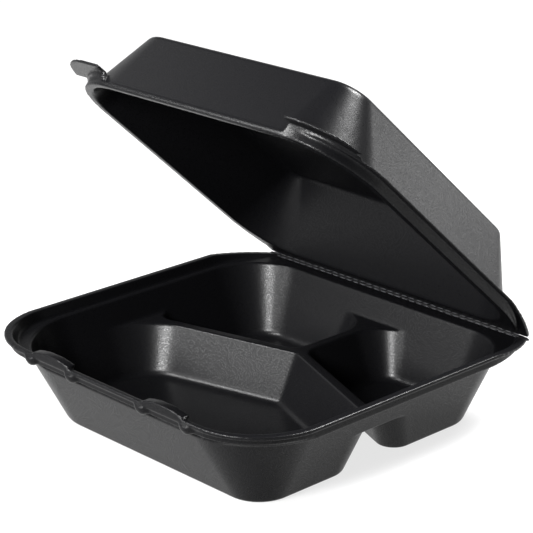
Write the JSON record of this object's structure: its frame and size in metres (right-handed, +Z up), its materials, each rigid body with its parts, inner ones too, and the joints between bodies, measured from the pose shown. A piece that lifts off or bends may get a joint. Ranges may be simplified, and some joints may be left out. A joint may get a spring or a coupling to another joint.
{
  "type": "foam clamshell container",
  "caption": "Hinged foam takeaway box: a divided tray with a raised rim and latch domes, and a deep lid joined along the back.",
  "frame": {"origin": "on the plane the tray stands on, midway across its width, midway between its front rim and the fold", "axes": "+X to the container's right, +Y from the latch side to the fold, +Z up"},
  "size_m": [0.213, 0.2015, 0.1879],
  "materials": {
    "black_foam": "smooth matt black expanded polystyrene foam with a faint bead grain"
  },
  "bodies": {
    "base_tray": {"base_tray": "black_foam"},
    "lid": {"lid": "black_foam"}
  },
  "joints": [
    {"name": "lid_hinge", "type": "hinge", "parent": "base_tray", "child": "lid", "pos_m": [0, 0.099, 0.0395], "axis": [-1, 0, 0], "range_deg": [-42.5, 137]}
  ]
}
